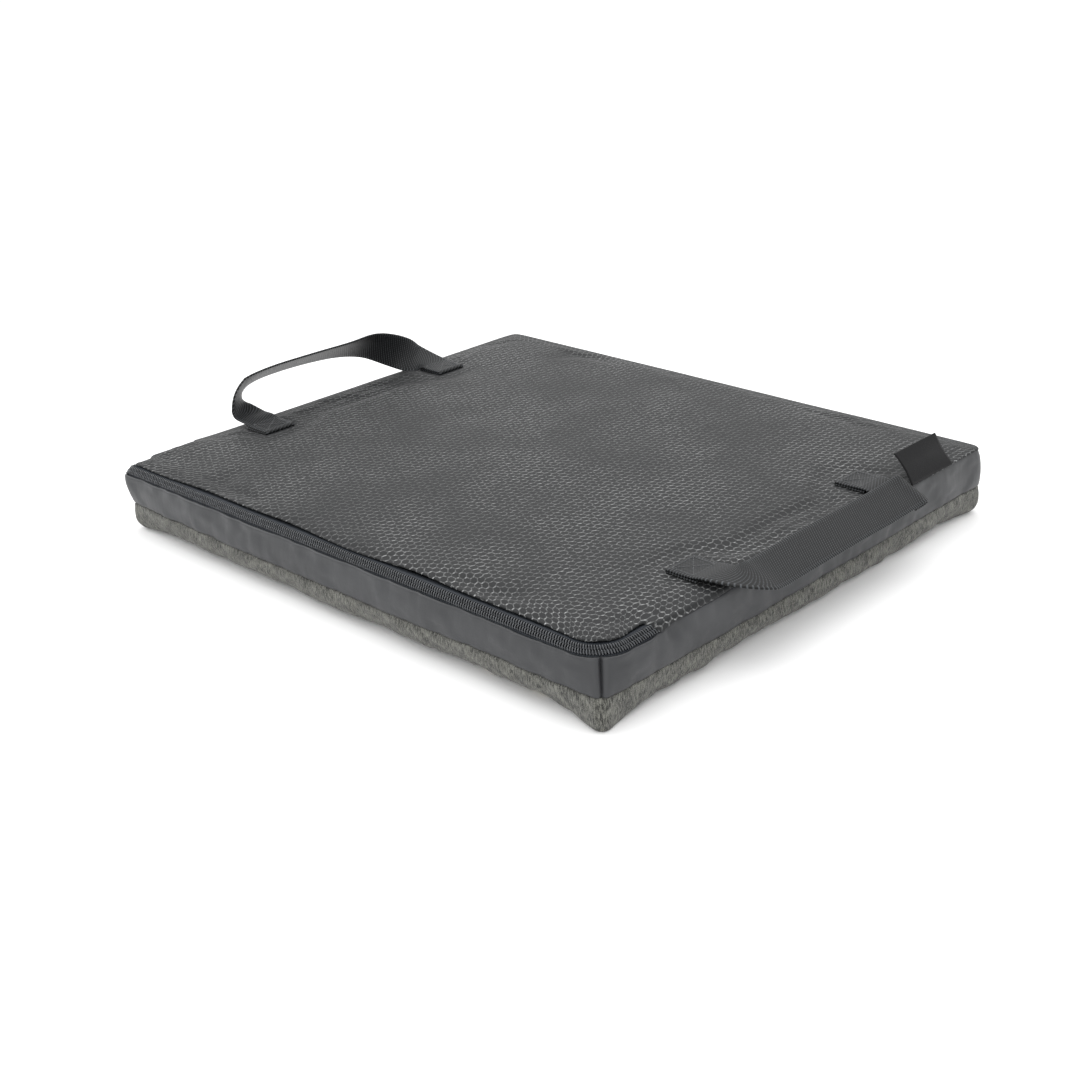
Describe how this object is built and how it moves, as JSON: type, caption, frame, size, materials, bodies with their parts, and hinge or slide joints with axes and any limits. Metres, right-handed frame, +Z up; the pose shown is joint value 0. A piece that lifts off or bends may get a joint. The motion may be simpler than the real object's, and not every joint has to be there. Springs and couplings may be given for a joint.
{
  "type": "kneeling pad",
  "caption": "Flat zipped kneeling pad with foam layers, a non-slip honeycomb face, a banded and knit cover, webbing carry handles and a blank side tag.",
  "frame": {"origin": "middle of the face that the pad lies on", "axes": "+X along the zipped front edge, +Y towards the back, +Z up through the pad's thickness"},
  "size_m": [0.4984, 0.406, 0.0868],
  "materials": {
    "comfort_foam": "open-cell foam",
    "firm_foam": "closed-cell foam",
    "honeycomb_fabric": "coated ripstop with raised honeycomb lines",
    "coated_band": "smooth polyurethane-coated cloth",
    "melange_knit": "heather-grey melange knit",
    "zip_tape": "woven tape",
    "zip_coil": "nylon coil",
    "zip_metal": "black enamelled die-cast zinc",
    "webbing": "woven polypropylene webbing",
    "thread": "bonded polyester thread",
    "backing": "plain woven patch",
    "tag_ribbon": "satin ribbon"
  },
  "bodies": {
    "pad": {"comfort_foam_layer": "comfort_foam", "firm_foam_layer": "firm_foam", "non_slip_top_panel": "honeycomb_fabric", "front_band": "coated_band", "right_band": "coated_band", "back_band": "coated_band", "left_band": "coated_band", "knit_cover": "melange_knit", "zip_upper_tape": "zip_tape", "zip_lower_tape": "zip_tape", "zip_upper_coil": "zip_coil", "zip_lower_coil": "zip_coil", "zip_top_stops": "zip_metal", "zip_bottom_stop": "zip_metal", "left_handle_front_tab": "webbing", "left_handle_rear_tab": "webbing", "left_handle_stitching": "thread", "right_handle_front_tab": "webbing", "right_handle_rear_tab": "webbing", "right_handle_stitching": "thread", "handle_backing_patches": "backing"},
    "slider": {"zip_slider": "zip_metal"},
    "puller": {"zip_puller": "zip_metal"},
    "left_handle": {"left_handle_strap": "webbing"},
    "right_handle": {"right_handle_strap": "webbing"},
    "tag": {"side_tag": "tag_ribbon"}
  },
  "joints": [
    {"name": "zip_slider_travel", "type": "slide", "parent": "pad", "child": "slider", "axis": [0, -1, 0], "range_m": [0, 0.02]},
    {"name": "zip_puller_swing", "type": "hinge", "parent": "slider", "child": "puller", "pos_m": [-0.22577, -0.1566, 0.04727], "axis": [-0.7071, 0, -0.7071], "range_deg": [0, 145]},
    {"name": "left_handle_swing", "type": "hinge", "parent": "pad", "child": "left_handle", "pos_m": [-0.2145, 0, 0.054], "axis": [0, 1, 0], "range_deg": [-10, 105]},
    {"name": "right_handle_swing", "type": "hinge", "parent": "pad", "child": "right_handle", "pos_m": [0.2145, 0, 0.054], "axis": [0, -1, 0], "range_deg": [0, 160]},
    {"name": "tag_flip", "type": "hinge", "parent": "pad", "child": "tag", "pos_m": [0.2276, 0.134, 0.0491], "axis": [0, -1, 0], "range_deg": [-135, 18]}
  ]
}
